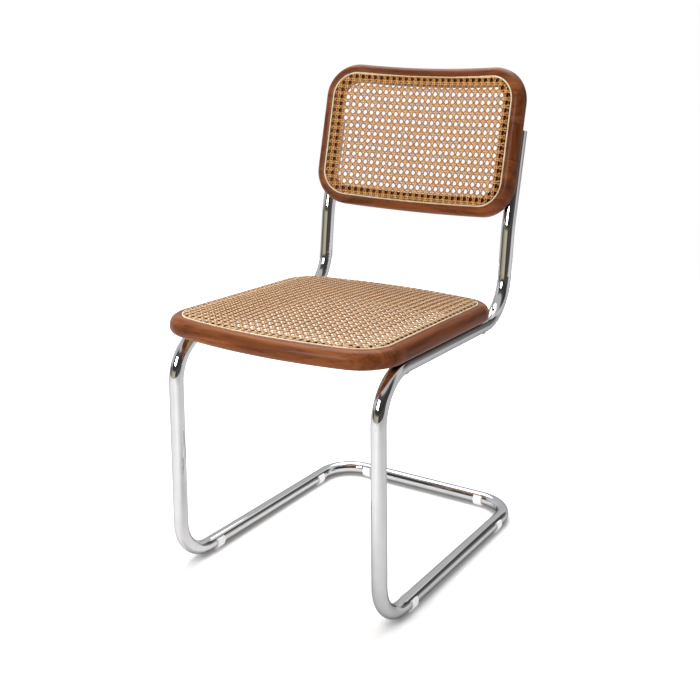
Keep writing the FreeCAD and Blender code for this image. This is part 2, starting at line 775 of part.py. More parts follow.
# Glides: clips open at the top with a flat worn foot, built along Y with the floor at height zero
def glide(name, x, y, turned):
    """A clip round the floor tube at a place along it, turned for the rear bar."""
    outer = doc.addObject("Part::Cylinder", f"{name}_outer")
    bind(outer, Radius="glide_radius", Height="glide_length", Angle="glide_wrap")
    outer.Placement = FreeCAD.Placement(Vector(), FreeCAD.Rotation(UPWARD, -measure("90 + glide_wrap / 2")))
    inner = doc.addObject("Part::Cylinder", f"{name}_inner")
    bind(inner, Radius="tube_radius + clearance", Height="glide_length")
    clip = combine("Cut", f"{name}_clip", outer, inner)
    below = block(
        f"{name}_below", "-2 * glide_radius", "-floor_axis - margin", "-margin",
        "4 * glide_radius", "margin", "glide_length + 2 * margin",
    )
    result = combine("Cut", name, clip, below)
    lay = FreeCAD.Rotation(ACROSS, QUARTER_TURN)
    if turned:
        lay = FreeCAD.Rotation(UPWARD, QUARTER_TURN) * lay
    result.Placement = FreeCAD.Placement(Vector(), lay)
    half = "glide_length / 2"
    return bind(
        result,
        Placement__Base__x=f"{x} - {half}" if turned else x,
        Placement__Base__y=f"{y} - middle" if turned else f"{y} + {half} - middle",
        Placement__Base__z="floor_axis",
    )


glides = []
for side, sign in sides:
    for end, place in (("front", "runner_glide_front"), ("side", "runner_glide_rear")):
        spread = f"{sign}(tube_spacing + foot_spread + {place} * spread_rate)"
        glides.append(glide(f"glide_{end}_{side}", spread, place, False))
    glides.append(glide(f"glide_rear_{side}", f"{sign}bar_glide_offset", "bar_depth", True))

doc.recompute()

nodes = [frame_tube, seat_screws, back_screws, seat_dowels, back_dowels, seat_spline, back_spline]
nodes += [seat_cane, back_cane] + wooden + plugs + glides
problems = []
for item in doc.Objects:
    if "Invalid" in item.State or "Error" in item.State:
        problems.append(f"{item.Name}: {item.State}")
for node in nodes:
    if node.Shape.isNull() or not node.Shape.isValid() or not node.Shape.Solids:
        problems.append(f"{node.Name}: bad shape")
if problems:
    raise RuntimeError("; ".join(problems))

# The tube's volume is its section times the length of its centre line
wanted = 2 * run_length * math.pi * (measure("tube_radius") ** 2 - measure("bore_radius") ** 2)
print(f"tube length {2 * run_length:.0f}, volume share {tube.Shape.Volume / wanted:.4f}")
print(f"gaps in the seat {seat_gaps}, in the back {back_gaps}")

os.makedirs("parts", exist_ok=True)
for node in nodes:
    node.Shape.exportStep(f"parts/{node.Name}.step")
    box = node.Shape.BoundBox
    print(
        f"{node.Name:18s} solids {len(node.Shape.Solids)} x {box.XMin:8.1f} {box.XMax:8.1f} "
        f"y {box.YMin:8.1f} {box.YMax:8.1f} z {box.ZMin:8.1f} {box.ZMax:8.1f}"
    )
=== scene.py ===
"""Looks for the cantilever dining chair: polished tube, walnut frames and six-way woven cane."""
import math
import random

import bpy
import numpy as np
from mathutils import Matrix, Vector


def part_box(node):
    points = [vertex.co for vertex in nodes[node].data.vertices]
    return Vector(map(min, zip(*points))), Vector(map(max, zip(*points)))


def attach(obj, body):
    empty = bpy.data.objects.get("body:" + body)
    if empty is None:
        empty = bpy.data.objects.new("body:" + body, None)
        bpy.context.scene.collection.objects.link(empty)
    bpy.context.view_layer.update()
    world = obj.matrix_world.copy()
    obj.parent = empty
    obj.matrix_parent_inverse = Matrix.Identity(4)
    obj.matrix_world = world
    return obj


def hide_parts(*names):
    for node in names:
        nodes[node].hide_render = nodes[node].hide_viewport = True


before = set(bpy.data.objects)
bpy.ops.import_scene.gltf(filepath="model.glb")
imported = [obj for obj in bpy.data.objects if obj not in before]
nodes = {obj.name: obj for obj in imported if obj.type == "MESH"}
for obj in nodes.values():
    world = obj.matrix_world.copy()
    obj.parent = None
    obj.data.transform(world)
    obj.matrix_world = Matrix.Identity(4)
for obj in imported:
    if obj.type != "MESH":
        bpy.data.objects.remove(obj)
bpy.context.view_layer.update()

# Sizes in metres, as in the solids. The reach goes from the tube's axis to the back frame's rear.
TUBE_SPACING = 0.1994
TUBE_REACH = 0.0128
KINK_Y = 0.2152
KINK_Z = 0.5887
LEAN = math.radians(12.1)
SEAT_FRONT_BOW = 0.790
SEAT_REAR_BOW = 0.900
SEAT_FRONT_CORNER = 0.0765
SEAT_REAR_CORNER = 0.068
SEAT_RIM = 0.040
BACK_LOW = 0.0146
BACK_HIGH = 0.2931
BACK_HALF = 0.211
BACK_LOW_BOW = 5.0
BACK_HIGH_BOW = -3.8
BACK_CORNER = 0.0662
BACK_BOW = 0.920
BACK_THICK = 0.0305
BACK_FACE = BACK_BOW - BACK_THICK
BOW_AXIS = math.sqrt((BACK_BOW + TUBE_REACH) ** 2 - TUBE_SPACING ** 2)
BACK_LOW_JOINT = 0.125
BACK_HIGH_JOINT = 0.1905
BACK_GROOVE_NEAR = 0.0172
BACK_GROOVE_FAR = 0.0218
BACK_GROOVE_DEEP = 0.009
BACK_FRONT_ROUND = 0.012
BACK_REAR_ROUND = 0.010

# The seat frame's nodes, by the way that their grain runs
SEAT_RAILS_ACROSS = ("seat_rail_front", "seat_rail_rear")
SEAT_RAILS_DEEP = ("seat_rail_left", "seat_rail_right")

# The dressed back frame alone: its ledge is narrower than in the solids, its joints are hairlines
BACK_LEDGE = 0.035
LEDGE_ROUND = 0.001
JOINT_NICK = 0.0004
OUTLINE_STEP = 0.004
ROUND_POINTS = 7
SAME_PLACE = 1e-6
SHARP_ANGLE = math.radians(35)

# Weave: pairs of strands both ways and single slanting strands, a pitch apart. The insets are where
# the cane goes under its spline, and an origin is a crossing of two pairs.
STRAND_SEED = 7
PITCH_ACROSS = 0.01335
PITCH_ALONG = 0.0139
SEAT_CANE_INSET = 0.02365
BACK_CANE_INSET = 0.02115
SEAT_ORIGIN_X = 0.0
BACK_ORIGIN = (0.0055, 0.151)
SLANT_WIDTH_SHARE = 0.9
SPARE_STRANDS = 2

# How finely a strand is cut to the outline and divided along it, how deep its ends turn down, and
# its section, in shares of its width and thickness
CLIP_STEP = 0.00025
STEPS_A_PITCH = 6
SLANT_STEP_SHARE = 1.2
FEWEST_POINTS = 3
SIDE_PROBE = 0.001
TUCK = 0.004
STRAND_SECTION = ((-0.5, -0.5), (-0.42, 0.2), (0.0, 0.5), (0.42, 0.2), (0.5, -0.5))

# What differs from strand to strand, and the mark on slanting strands: a length added to the
# coordinate along them, by which their material knows them
STRAND_DRIFT = 0.00015
STRAND_SWAY = 0.00012
SWAY_TURNS = (20, 45)
SWAY_START = (0, 6)
WIDTH_SHARES = (0.94, 1.06)
SKIN_START = (0, 50)
SLANT_MARK = 1000.0

# A pair's strands lie a gap to either side of its middle and rise and dip by the wave. The slanting
# ones rise and dip by the diagonal, round a height of their own, over. The step sets rows above
# columns, and the lift raises it all off the frame's face.
BACK_BUILD = {
    "gap": 0.00180, "wide": 0.0023, "over": 0.0007, "thick": 0.0008,
    "wave": 0.0006, "step": 0.0, "diagonal": 0.0009, "lift": 0.0016,
}
SEAT_BUILD = {
    "gap": 0.00195, "wide": 0.0038, "over": 0.0005, "thick": 0.0014,
    "wave": 0.0005, "step": 0.0004, "diagonal": 0.0014, "lift": 0.0021,
}

# The seat's crown. Its weave has a share of its relief at the rim, and the rest is added inwards.
SEAT_CROWN = 0.007
CROWN_POWER = 0.7
RIM_RELIEF_SHARE = 0.55
ADDED_RELIEF_SHARE = 0.45
RELIEF_RISE = 4


# Shader nodes

# The Mix node's first, second and result sockets, for colours and for plain values
COLOUR_SOCKETS = (6, 7, 2)
VALUE_SOCKETS = (2, 3, 0)
RAMP_MIDDLE = 0.5
COVER_SAMPLES = 8


def grey(level):
    """A neutral colour."""
    return (level, level, level)


def new_material(name):
    """A node material, with its tree and its Principled shader."""
    material = bpy.data.materials.new(name)
    material.use_nodes = True
    tree = material.node_tree
    return material, tree, tree.nodes["Principled BSDF"]


def give(node, values):
    """Sets a node's own sockets."""
    for key, value in values.items():
        node.inputs[key].default_value = value


def add(tree, kind, values=None, **settings):
    """A node of a kind, with its settings and the values of its sockets."""
    node = tree.nodes.new(kind)
    for key, value in settings.items():
        setattr(node, key, value)
    give(node, values or {})
    return node


def link(output, node, socket):
    """Feeds an output to a node's socket."""
    node.id_data.links.new(output, node.inputs[socket])


def ramp(tree, factor, stops):
    """A colour ramp over a factor, from stops of place and colour."""
    node = add(tree, "ShaderNodeValToRGB")
    elements = node.color_ramp.elements
    while len(elements) < len(stops):
        elements.new(RAMP_MIDDLE)
    for element, (position, colour) in zip(elements, stops):
        element.position = position
        element.color = (*colour, 1)
    link(factor, node, "Fac")
    return node.outputs["Color"]


def coordinates(tree, stretch=(1, 1, 1), source="Object"):
    """Texture coordinates stretched by a scale."""
    node = add(tree, "ShaderNodeMapping", {"Scale": stretch})
    link(add(tree, "ShaderNodeTexCoord").outputs[source], node, "Vector")
    return node.outputs["Vector"]


def noise(tree, scale=1.0, detail=4.0, roughness=0.55, distortion=0.0, **mapping):
    """Noise over coordinates."""
    node = add(tree, "ShaderNodeTexNoise", {
        "Scale": scale, "Detail": detail, "Roughness": roughness, "Distortion": distortion,
    })
    link(coordinates(tree, **mapping), node, "Vector")
    return node.outputs["Fac"]


def spread(tree, factor, low, high, start=0.0, end=1.0):
    """A factor that runs from start to end, remapped to run from low to high."""
    node = add(tree, "ShaderNodeMapRange", {
        "From Min": start, "From Max": end, "To Min": low, "To Max": high,
    })
    link(factor, node, "Value")
    return node.outputs["Result"]


def maths(tree, operation, *terms):
    """The result of an operation on outputs and plain numbers."""
    node = add(tree, "ShaderNodeMath", operation=operation)
    for socket, term in enumerate(terms):
        if isinstance(term, float):
            give(node, {socket: term})
        else:
            link(term, node, socket)
    return node.outputs["Value"]


def reach_along(tree, vector, axis):
    """How far a vector goes along an axis."""
    node = add(tree, "ShaderNodeVectorMath", {1: axis}, operation="DOT_PRODUCT")
    link(vector, node, 0)
    return node.outputs["Value"]


def mix(tree, factor, first, second, sockets=COLOUR_SOCKETS, **settings):
    """Two outputs or plain values mixed by a factor."""
    node = add(tree, "ShaderNodeMix", **settings)
    low, high, result = sockets
    for socket, term in ((0, factor), (low, first), (high, second)):
        if isinstance(term, (float, tuple)):
            give(node, {socket: term})
        else:
            link(term, node, socket)
    return node.outputs[result]


def mix_colour(tree, factor, first, second):
    """Two colours mixed by a factor."""
    return mix(tree, factor, first, second, data_type="RGBA")


def multiplied(tree, first, second, share=1.0):
    """A colour multiplied by another, to a share."""
    return mix(tree, share, first, second, data_type="RGBA", blend_type="MULTIPLY")


def openness(tree, reach):
    """How little there is within reach of the surface."""
    node = add(tree, "ShaderNodeAmbientOcclusion", {"Distance": reach}, samples=COVER_SAMPLES)
    return node.outputs["AO"]


def relief(tree, shader, height, strength, depth):
    """Bumps from a height."""
    node = add(tree, "ShaderNodeBump", {"Strength": strength, "Distance": depth})
    link(height, node, "Height")
    link(node.outputs["Normal"], shader, "Normal")


# Materials. A tone or shade is a place and a linear colour, a roughness is its lowest and highest
# value, and a relief is its strength and its depth in metres.

CHROME_HAZE = {"scale": 40}
CHROME_TONES = ((0.2, (0.66, 0.66, 0.67)), (0.8, (0.72, 0.72, 0.73)))
CHROME_FINISH = {"Metallic": 1.0, "Specular Tint": (0.40, 0.40, 0.42, 1)}
CHROME_ROUGHNESS = (0.03, 0.07)
CHROME_RIPPLE = {"scale": 25, "detail": 2}
CHROME_RELIEF = (0.05, 0.0005)


def chrome_material():
    """Polished chrome with a trace of haze and ripple."""
    material, tree, shader = new_material("polished_chrome")
    haze = noise(tree, **CHROME_HAZE)
    link(ramp(tree, haze, CHROME_TONES), shader, "Base Color")
    link(spread(tree, haze, *CHROME_ROUGHNESS), shader, "Roughness")
    give(shader, CHROME_FINISH)
    relief(tree, shader, noise(tree, **CHROME_RIPPLE), *CHROME_RELIEF)
    return material


WOOD_FIBRES = {"across": 55.0, "along": 4.0, "detail": 6, "roughness": 0.6, "distortion": 0.6}
WOOD_FIGURE = {"across": 9.0, "along": 1.6, "detail": 3, "roughness": 0.5, "distortion": 1.2}
WOOD_PORES = {"across": 260.0, "along": 14.0, "detail": 2}
WOOD_TONES = (
    (0.30, (0.110, 0.030, 0.009)), (0.48, (0.220, 0.063, 0.018)), (0.70, (0.360, 0.112, 0.032)),
)
FIGURE_TONES = ((0.30, (0.60, 0.55, 0.52)), (0.68, grey(1.0)))
PORE_TONES = ((0.32, (0.55, 0.5, 0.48)), (0.42, grey(1.0)))
PORE_SHARE = 0.7
# Painted shade in the nooks: where other surfaces lie close, as under the cane, the wood's colour
# is darkened and its reflections are dimmed
NOOK_REACH = 0.012
PAINTED_NOOK_SHADE = ((0.56, grey(0.01)), (0.80, grey(1.0)))
PAINTED_NOOK_SHADE_ON_GLOSS = {"low": 0.0, "high": 0.12, "start": 0.60, "end": 0.85}
WOOD_FINISH = {"Coat Weight": 0.03, "Coat Roughness": 0.18}
WOOD_ROUGHNESS = (0.30, 0.42)
WOOD_RELIEF = (0.12, 0.0004)


def wood_noise(tree, grain, across, along, **settings):
    """Noise drawn out along the grain's axis."""
    stretch = [along if axis == grain else across for axis in "xyz"]
    return noise(tree, stretch=stretch, **settings)


def wood_material(name, grain):
    """Walnut stain over straight grain along an axis, under a satin lacquer, with painted shade
    that darkens the colour and dims the reflections in the nooks.
    """
    material, tree, shader = new_material(name)
    fibres = wood_noise(tree, grain, **WOOD_FIBRES)
    pores = wood_noise(tree, grain, **WOOD_PORES)
    figure = ramp(tree, wood_noise(tree, grain, **WOOD_FIGURE), FIGURE_TONES)
    stained = multiplied(tree, ramp(tree, fibres, WOOD_TONES), figure)
    grained = multiplied(tree, stained, ramp(tree, pores, PORE_TONES), PORE_SHARE)
    # Painted shade: darker colour and weaker reflections where other surfaces lie close
    painted_shade_mask = openness(tree, NOOK_REACH)
    link(multiplied(tree, grained, ramp(tree, painted_shade_mask, PAINTED_NOOK_SHADE)), shader, "Base Color")
    link(spread(tree, fibres, *WOOD_ROUGHNESS), shader, "Roughness")
    link(spread(tree, painted_shade_mask, **PAINTED_NOOK_SHADE_ON_GLOSS), shader, "Specular IOR Level")
    give(shader, WOOD_FINISH)
    relief(tree, shader, pores, *WOOD_RELIEF)
    return material


# The UV coordinates of a strand run along it and across it. The rim is painted shade along both
# edges of a strand, and its places are how far from the strand's middle it starts to darken and is
# darkest.
CANE_SKIN = {"detail": 4, "stretch": (60, 3, 1), "source": "UV"}
CANE_PLACES = (0.30, 0.50, 0.75)
CANE_PAINTED_RIM_SHADE_PLACES = (0.20, 0.42)
CANE_SLANT_PLACES = (0.4, 0.6)
CANE_FIBRES = {"detail": 2, "stretch": (150, 12, 1), "source": "UV"}
CANE_FINISH = {"Roughness": 0.42, "Specular IOR Level": 0.25, "Sheen Tint": (1.0, 0.86, 0.66, 1)}
CANE_RELIEF = (0.2, 0.0002)
STRAND_MIDDLE = 0.5
# The seat and the back hold the same cane in two copies. The seat's tones are painted lighter and
# less saturated, as lit from above, and its painted rim shade is darker.
SEAT_SKIN_PAINTED_LIT = {
    "tones": ((0.65, 0.42, 0.235), (0.87, 0.665, 0.44), (0.98, 0.835, 0.615)),
    "rim": (0.35, 0.195, 0.095), "slant": (0.82, 0.655, 0.475), "sheen": 0.20,
}
BACK_SKIN = {
    "tones": ((0.66, 0.38, 0.15), (0.88, 0.60, 0.29), (0.98, 0.77, 0.44)),
    "rim": (0.44, 0.22, 0.07), "slant": (0.76, 0.47, 0.18), "sheen": 0.03,
}


def cane_material(name, tones, rim, slant, sheen):
    """Peeled cane: tan skin, with painted shade along both edges of a strand, darker on the
    slanting strands.
    """
    material, tree, shader = new_material(name)
    parts = add(tree, "ShaderNodeSeparateXYZ")
    link(add(tree, "ShaderNodeTexCoord").outputs["UV"], parts, "Vector")
    side = maths(tree, "ABSOLUTE", maths(tree, "SUBTRACT", parts.outputs["Y"], STRAND_MIDDLE))
    slanted = maths(tree, "GREATER_THAN", parts.outputs["X"], SLANT_MARK / 2)
    skin = ramp(tree, noise(tree, **CANE_SKIN), tuple(zip(CANE_PLACES, tones)))
    # Painted shade: the skin darkens towards both edges of each strand
    skin_with_painted_rim_shade = multiplied(tree, skin, ramp(tree, side, tuple(zip(CANE_PAINTED_RIM_SHADE_PLACES, (grey(1), rim)))))
    layer = ramp(tree, slanted, tuple(zip(CANE_SLANT_PLACES, (grey(1), slant))))
    link(multiplied(tree, skin_with_painted_rim_shade, layer), shader, "Base Color")
    give(shader, {**CANE_FINISH, "Sheen Weight": sheen})
    relief(tree, shader, noise(tree, **CANE_FIBRES), *CANE_RELIEF)
    return material


REED_FIBRES = {"stretch": (60, 60, 60)}
REED_TONES = ((0.3, (0.70, 0.53, 0.32)), (0.55, (0.85, 0.70, 0.46)), (0.8, (0.93, 0.82, 0.60)))
REED_FINISH = {"Roughness": 0.45}
REED_GRIT = {"detail": 2, "stretch": (400, 400, 400)}
REED_RELIEF = (0.15, 0.0002)


def spline_material():
    """Pale reed with fine fibres."""
    material, tree, shader = new_material("reed_spline")
    link(ramp(tree, noise(tree, **REED_FIBRES), REED_TONES), shader, "Base Color")
    give(shader, REED_FINISH)
    relief(tree, shader, noise(tree, **REED_GRIT), *REED_RELIEF)
    return material


NYLON_CLOUD = {"scale": 120, "detail": 2}
NYLON_TONES = ((0.3, (0.93, 0.93, 0.94)), (0.7, (0.98, 0.98, 0.99)))
NYLON_ROUGHNESS = (0.28, 0.4)
# Painted glow: the nylon emits a little light of its own, standing in for light that passes through
# it
NYLON_FINISH_AND_PAINTED_GLOW = {
    "Emission Color": (1.0, 0.98, 0.97, 1), "Emission Strength": 0.25,
    "Subsurface Weight": 0.6, "Subsurface Radius": (0.004, 0.004, 0.004),
}


def glide_material():
    """Milky nylon, with a painted glow of its own."""
    material, tree, shader = new_material("milky_nylon")
    cloud = noise(tree, **NYLON_CLOUD)
    link(ramp(tree, cloud, NYLON_TONES), shader, "Base Color")
    link(spread(tree, cloud, *NYLON_ROUGHNESS), shader, "Roughness")
    give(shader, NYLON_FINISH_AND_PAINTED_GLOW)
    return material


PLAIN_PLACES = (0.3, 0.7)
PLAIN_DETAIL = 3
PLAIN_ROUGHNESS_SHARES = (0.8, 1.2)
PLAIN_RELIEF = (0.1, 0.0001)
RUBBER = {"tones": (grey(0.012), grey(0.03)), "rough": 0.6, "metallic": 0.0, "scale": 200}
PLATED = {
    "tones": ((0.45, 0.45, 0.46), grey(0.6)), "rough": 0.3, "metallic": 1.0, "scale": 200,
}
BEECH = {
    "tones": ((0.45, 0.30, 0.16), (0.6, 0.43, 0.25)), "rough": 0.6, "metallic": 0.0, "scale": 90,
}


def plain_material(name, tones, rough, metallic, scale):
    """A small part's finish: two close shades in a fine noise."""
    material, tree, shader = new_material(name)
    grain = noise(tree, scale, PLAIN_DETAIL)
    link(ramp(tree, grain, tuple(zip(PLAIN_PLACES, tones))), shader, "Base Color")
    roughness = [rough * share for share in PLAIN_ROUGHNESS_SHARES]
    link(spread(tree, grain, *roughness), shader, "Roughness")
    give(shader, {"Metallic": metallic})
    relief(tree, shader, grain, *PLAIN_RELIEF)
    return material


def dress(names, material):
    """Gives CAD nodes a material and smooth shading."""
    for name in names:
        mesh = nodes[name].data
        mesh.materials.clear()
        mesh.materials.append(material)
        mesh.shade_smooth()


# Outlines and surfaces

def joined_box(names):
    """The box round several CAD nodes."""
    boxes = [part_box(name) for name in names]
    low = [min(box[0][axis] for box in boxes) for axis in range(3)]
    high = [max(box[1][axis] for box in boxes) for axis in range(3)]
    return low, high


# Half the width, then place, bow and corner radius of the near edge and of the far edge. A negative
# bow is a hollow edge.
seat_low, seat_high = joined_box(SEAT_RAILS_ACROSS + SEAT_RAILS_DEEP)
seat_shape = (
    seat_high[0], seat_low[1], SEAT_FRONT_BOW, SEAT_FRONT_CORNER,
    seat_high[1], SEAT_REAR_BOW, SEAT_REAR_CORNER,
)
seat_middle = (seat_low[1] + seat_high[1]) / 2
back_shape = (
    BACK_HALF, BACK_LOW, BACK_LOW_BOW, BACK_CORNER, BACK_HIGH, BACK_HIGH_BOW, BACK_CORNER,
)


def seat_surface(u, v, lift):
    """The crowned seat panel: u to the side, v to the rear."""
    across = 1 - (u / (seat_high[0] - SEAT_RIM)) ** 2
    depth = (seat_high[1] - seat_low[1]) / 2 - SEAT_RIM
    along = 1 - ((v - seat_middle) / depth) ** 2
    crown = SEAT_CROWN * np.clip(across, 0, 1) ** CROWN_POWER * np.clip(along, 0, 1) ** CROWN_POWER
    inwards = np.clip(RELIEF_RISE * across * along, 0, 1)
    share = RIM_RELIEF_SHARE + ADDED_RELIEF_SHARE * inwards
    return np.stack([u, v, seat_high[2] + crown + lift * share], axis=-1)


def back_surface(u, v, lift):
    """The bowed back panel: u along the bow, v up the lean."""
    radius = BACK_FACE - lift
    turn = u / BACK_FACE
    x = radius * np.sin(turn)
    y = radius * np.cos(turn) - BOW_AXIS
    return np.stack([
        x,
        KINK_Y + v * math.sin(LEAN) + y * math.cos(LEAN),
        KINK_Z + v * math.cos(LEAN) - y * math.sin(LEAN),
    ], axis=-1)


def inside(u, v, shape, inset):
    """Whether points lie within a frame's outline, set in by an inset."""
    half, near, near_bow, near_corner, far, far_bow, far_corner = shape
    side = np.abs(u)
    good = side <= half - inset
    for edge, bow, corner, sign in (
        (near, near_bow, near_corner, -1), (far, far_bow, far_corner, 1),
    ):
        middle = edge - sign * bow
        bulge = math.copysign(1, bow)
        good &= bulge * np.hypot(u, v - middle) <= bow - inset
        x = half - corner
        y = middle + sign * bulge * math.sqrt((bow - corner) ** 2 - x ** 2)
        outer = (side > x) & (sign * (v - y) > 0)
        good &= ~outer | (np.hypot(side - x, v - y) <= corner - inset)
    return good


def half_outline(shape, spacing):
    """Places and inward normals along the right half of a frame's outer edge, bottom to top."""
    half, near, near_bow, near_corner, far, far_bow, far_corner = shape
    bulge = math.copysign(1, far_bow)
    near_x, far_x = half - near_corner, half - far_corner
    near_middle, far_middle = near + near_bow, far - far_bow
    near_y = near_middle - math.sqrt((near_bow - near_corner) ** 2 - near_x ** 2)
    far_y = far_middle + bulge * math.sqrt((far_bow - far_corner) ** 2 - far_x ** 2)
    near_turn = math.atan2(near_y - near_middle, near_x)
    far_turn = math.atan2(bulge * (far_y - far_middle), bulge * far_x)
    far_start = far_turn if bulge > 0 else far_turn - math.pi
    rows = []
    for centre, radius, first, last, sign in (
        ((0, near_middle), near_bow, -math.pi / 2, near_turn, -1),
        ((near_x, near_y), near_corner, near_turn, 0, -1),
        ((far_x, far_y), far_corner, 0, far_turn, -1),
        ((0, far_middle), abs(far_bow), far_start, bulge * math.pi / 2, -bulge),
    ):
        count = max(2, int(radius * abs(last - first) / spacing) + 1)
        for angle in np.linspace(first, last, count):
            x, y = math.cos(angle), math.sin(angle)
            row = (centre[0] + radius * x, centre[1] + radius * y, sign * x, sign * y)
            if not rows or math.dist(rows[-1][:2], row[:2]) > SAME_PLACE:
                rows.append(row)
    return rows


def placed(name, data):
    """An object of the scene that holds some data."""
    thing = bpy.data.objects.new(name, data)
    bpy.context.scene.collection.objects.link(thing)
    return thing


# Woven panels

def clip(start, direction, reach, shape, inset):
    """The ends of a straight strand inside the panel, as distances along it."""
    t = np.arange(0.0, reach, CLIP_STEP)
    good = inside(start[0] + t * direction[0], start[1] + t * direction[1], shape, inset)
    if not good.any():
        return None
    held = t[good]
    return held[0], held[-1]


def ribbon(points, across, width, thick, store, start):
    """Adds one strand with a domed face along 3-D points, its coordinates counted from a start."""
    along = np.gradient(points, axis=0)
    along /= np.linalg.norm(along, axis=1)[:, None]
    up = np.cross(along, across)
    up /= np.linalg.norm(up, axis=1)[:, None]
    rows, count = len(points), len(STRAND_SECTION)
    verts = np.empty((rows, count, 3))
    for index, (x, y) in enumerate(STRAND_SECTION):
        verts[:, index] = points + across * (x * width) + up * (y * thick)
    row = np.arange(rows - 1)[:, None] * count
    column = np.arange(count)[None, :]
    following = (column + 1) % count
    faces = np.stack([
        row + column, row + following, row + count + following, row + count + column,
    ], axis=-1)
    steps = np.linalg.norm(np.diff(points, axis=0), axis=1)
    length = np.concatenate([[0], np.cumsum(steps)]) + start
    edge = np.array([x for x, _ in STRAND_SECTION]) + STRAND_MIDDLE
    next_edge = np.roll(edge, -1)
    next_edge[-1] = 0.0
    corners = [(length[:-1, None], edge), (length[:-1, None], next_edge),
               (length[1:, None], next_edge), (length[1:, None], edge)]
    uvs = [np.stack(np.broadcast_arrays(u, v[None, :]), axis=-1) for u, v in corners]
    store["faces"].append(faces.reshape(-1, 4) + store["count"])
    store["verts"].append(verts.reshape(-1, 3))
    store["uvs"].append(np.stack(uvs, axis=2).reshape(-1, 2))
    store["count"] += rows * count


def strand_lines(shape, origin, build):
    """The start, direction, kind, side of its pair and width of each strand, the pairs first."""
    half, near, _, _, far, _, _ = shape
    columns = int(half / PITCH_ACROSS) + SPARE_STRANDS
    rows = int((far - near) / 2 / PITCH_ALONG) + SPARE_STRANDS
    lines = []
    for twin in (-1, 1):
        for index in range(-columns, columns + 1):
            u = origin[0] + index * PITCH_ACROSS + twin * build["gap"]
            lines.append(((u, near), (0.0, 1.0), "column", twin, build["wide"]))
        for index in range(-rows, rows + 1):
            v = origin[1] + index * PITCH_ALONG + twin * build["gap"]
            lines.append(((-half, v), (1.0, 0.0), "row", twin, build["wide"]))
    slope = PITCH_ALONG / PITCH_ACROSS
    slant = (1 / math.hypot(1, slope), slope / math.hypot(1, slope))
    width = build["wide"] * SLANT_WIDTH_SHARE
    span = columns + rows + SPARE_STRANDS
    for index in range(-span, span + 1):
        # Slanting strands cross midway between the crossings of the pairs
        run = slope * (half + origin[0] + (index + 0.5) * PITCH_ACROSS)
        lines.append(((-half, origin[1] - run), slant, "rising", 0, width))
        lines.append(((-half, origin[1] + run), (slant[0], -slant[1]), "falling", 0, width))
    return lines


def strand_lift(kind, twin, across_turn, along_turn, build):
    """How a strand rises and dips over the others, by its place in the pattern."""
    if kind == "column":
        return twin * build["wave"] * np.sin(along_turn) - build["step"]
    if kind == "row":
        return -twin * build["wave"] * np.sin(across_turn) + build["step"]
    if kind == "rising":
        return build["over"] - build["diagonal"] * np.cos(across_turn)
    return build["over"] + build["diagonal"] * np.cos(across_turn)


def weave(name, shape, inset, surface, origin, build):
    """A panel of woven strands over a surface, clipped to a frame's outline."""
    half, near, _, _, far, _, _ = shape
    store = {"verts": [], "faces": [], "uvs": [], "count": 0}
    reach = 2 * (half + far - near)
    for start, direction, kind, twin, width in strand_lines(shape, origin, build):
        ends = clip(start, direction, reach, shape, inset)
        if ends is None or ends[1] - ends[0] < PITCH_ACROSS / 2:
            continue
        spacing = PITCH_ACROSS / STEPS_A_PITCH * (1 if twin else SLANT_STEP_SHARE)
        count = max(FEWEST_POINTS, int((ends[1] - ends[0]) / spacing) + 1)
        t = np.linspace(ends[0], ends[1], count)
        drift = random.uniform(-STRAND_DRIFT, STRAND_DRIFT)
        sway = STRAND_SWAY * np.sin(t * random.uniform(*SWAY_TURNS) + random.uniform(*SWAY_START))
        side = (-direction[1], direction[0])
        u = start[0] + t * direction[0] + side[0] * (drift + sway)
        v = start[1] + t * direction[1] + side[1] * (drift + sway)
        across_turn = (u - origin[0]) * math.tau / PITCH_ACROSS
        along_turn = (v - origin[1]) * math.tau / PITCH_ALONG
        lift = strand_lift(kind, twin, across_turn, along_turn, build)
        # Both ends turn down into the groove
        u = np.concatenate([[u[0]], u, [u[-1]]])
        v = np.concatenate([[v[0]], v, [v[-1]]])
        lift = np.concatenate([[-TUCK], lift, [-TUCK]]) + build["lift"]
        points = surface(u, v, lift)
        across = points - surface(u + side[0] * SIDE_PROBE, v + side[1] * SIDE_PROBE, lift)
        across /= np.linalg.norm(across, axis=1)[:, None]
        ribbon(points, across, width * random.uniform(*WIDTH_SHARES), build["thick"], store,
               random.uniform(*SKIN_START) + (0 if twin else SLANT_MARK))
    verts = np.concatenate(store["verts"])
    faces = np.concatenate(store["faces"])
    mesh = bpy.data.meshes.new(name)
    mesh.vertices.add(len(verts))
    mesh.vertices.foreach_set("co", verts.ravel())
    mesh.loops.add(faces.size)
    mesh.loops.foreach_set("vertex_index", faces.ravel())
    mesh.polygons.add(len(faces))
    mesh.polygons.foreach_set("loop_start", np.arange(len(faces)) * faces.shape[1])
    mesh.update(calc_edges=True)
    layer = mesh.uv_layers.new(name="strand")
    layer.data.foreach_set("uv", np.concatenate(store["uvs"]).ravel())
    mesh.shade_smooth()
    mesh.validate()
    return placed(name, mesh)


# Back frame

def rounded(inset, lift, radius, first, last):
    """Points of a rounded edge of the section, by its centre, radius and angles in degrees."""
    angles = [math.radians(angle) for angle in np.linspace(first, last, ROUND_POINTS)]
    return [
        (inset + radius * math.cos(angle), lift + radius * math.sin(angle)) for angle in angles
    ]


